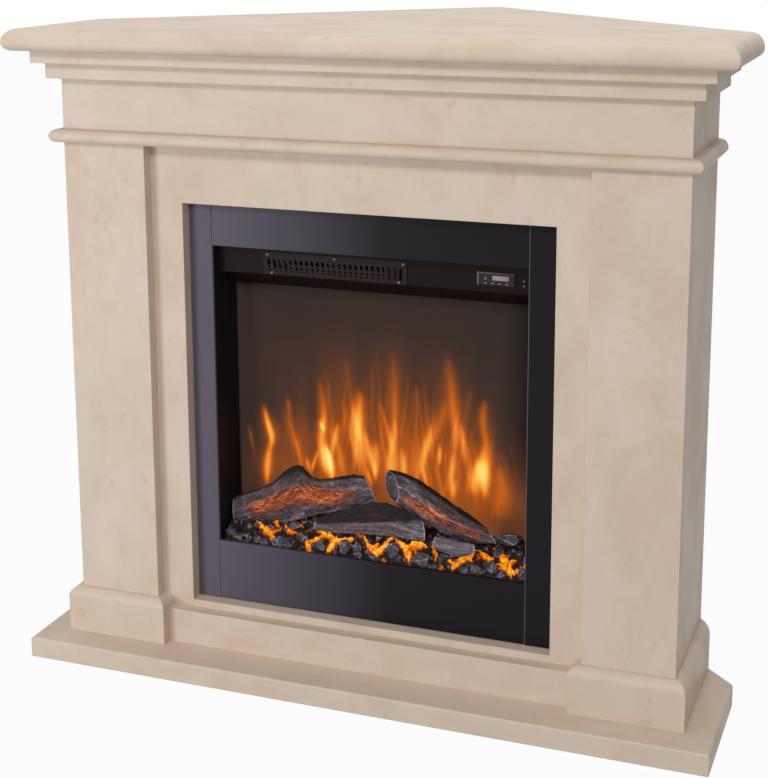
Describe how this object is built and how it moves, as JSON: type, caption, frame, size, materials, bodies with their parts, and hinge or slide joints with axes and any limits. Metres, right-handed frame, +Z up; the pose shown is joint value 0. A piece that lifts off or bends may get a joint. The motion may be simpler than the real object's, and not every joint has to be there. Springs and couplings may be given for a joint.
{
  "type": "corner fireplace",
  "caption": "Corner fireplace with a stone mantel, a pointed shelf for a right-angled corner and an electric fire with logs, flame screen and fan heater.",
  "frame": {"origin": "on the floor, in the middle of the footprint's bounding box", "axes": "+X to the right seen from the front, +Y to the back, into the corner, +Z up"},
  "size_m": [1.088, 0.782, 1],
  "materials": {
    "stone": "honed cream limestone look, satin",
    "timber": "planed softwood",
    "zinc_steel": "zinc plated sheet",
    "trim_black": "satin black powder coat",
    "casing_black": "matt black paint",
    "dark_screws": "blackened steel",
    "grille_grey": "satin bronze grey paint",
    "black_plastic": "fine texture",
    "bezel_grey": "satin grey",
    "display_red": "display window",
    "circuit_board": "circuit board",
    "lamp_clear": "clear lens",
    "blower_aluminium": "pressed aluminium",
    "bush_plastic": "natural acetal",
    "mica": "mica board with ribbon element",
    "smoked_screen": "smoked diffuser",
    "reflector": "bright foil",
    "led_board": "white board with lamps",
    "ember_resin": "translucent resin with charcoal paint",
    "log_bark": "painted moulded bark"
  },
  "bodies": {
    "fireplace": {"hearth_slab": "stone", "foot_left": "stone", "foot_right": "stone", "pilaster_left": "stone", "pilaster_right": "stone", "surround_panel": "stone", "base_rail": "stone", "frieze_front": "stone", "frieze_left": "stone", "frieze_right": "stone", "astragal_front": "stone", "astragal_left": "stone", "astragal_right": "stone", "cornice_front": "stone", "cornice_left": "stone", "cornice_right": "stone", "mantel_shelf": "stone", "batten_left": "timber", "batten_right": "timber", "angle_brackets": "zinc_steel", "bracket_screws": "zinc_steel", "insert_bearers": "timber", "trim_left": "trim_black", "trim_right": "trim_black", "trim_top": "trim_black", "trim_bottom": "trim_black", "casing": "casing_black", "flange_screws": "zinc_steel", "rear_cover": "casing_black", "cover_screws": "dark_screws", "cord_gland": "black_plastic", "hood": "casing_black", "outlet_grille": "grille_grey", "grille_screws": "dark_screws", "control_bezel": "bezel_grey", "display_window": "display_red", "display_board": "circuit_board", "indicator_lamps": "lamp_clear", "blower_housing": "zinc_steel", "blower_bush": "bush_plastic", "blower_motor": "zinc_steel", "heating_element": "mica", "control_board": "circuit_board", "flame_screen": "smoked_screen", "flame_stencil": "reflector", "rotor_bracket": "zinc_steel", "rotor_motor": "zinc_steel", "led_strips": "led_board", "ember_bed": "ember_resin", "log_left": "log_bark", "log_right": "log_bark", "log_middle": "log_bark", "log_stub": "log_bark"},
    "blower_rotor": {"blower_wheel": "blower_aluminium"},
    "flame_shaft": {"flame_rotor": "reflector"},
    "power_key": {"button_power": "black_plastic"},
    "flame_key": {"button_flame": "black_plastic"},
    "heat_key": {"button_heat": "black_plastic"},
    "timer_key": {"button_timer": "black_plastic"},
    "dimmer_key": {"button_dimmer": "black_plastic"}
  },
  "joints": [
    {"name": "blower_turn", "type": "hinge", "parent": "fireplace", "child": "blower_rotor", "pos_m": [-0.0605, -0.203, 0.6625], "axis": [1, 0, 0], "continuous": true},
    {"name": "flame_shaft_turn", "type": "hinge", "parent": "fireplace", "child": "flame_shaft", "pos_m": [-0.003, -0.1635, 0.1605], "axis": [1, 0, 0], "continuous": true},
    {"name": "power_press", "type": "slide", "parent": "fireplace", "child": "power_key", "axis": [0, 1, 0], "range_m": [0, 0.0007], "stiffness_N_per_m": 800},
    {"name": "flame_press", "type": "slide", "parent": "fireplace", "child": "flame_key", "axis": [0, 1, 0], "range_m": [0, 0.0007], "stiffness_N_per_m": 800},
    {"name": "heat_press", "type": "slide", "parent": "fireplace", "child": "heat_key", "axis": [0, 1, 0], "range_m": [0, 0.0007], "stiffness_N_per_m": 800},
    {"name": "timer_press", "type": "slide", "parent": "fireplace", "child": "timer_key", "axis": [0, 1, 0], "range_m": [0, 0.0007], "stiffness_N_per_m": 800},
    {"name": "dimmer_press", "type": "slide", "parent": "fireplace", "child": "dimmer_key", "axis": [0, 1, 0], "range_m": [0, 0.0007], "stiffness_N_per_m": 800}
  ]
}
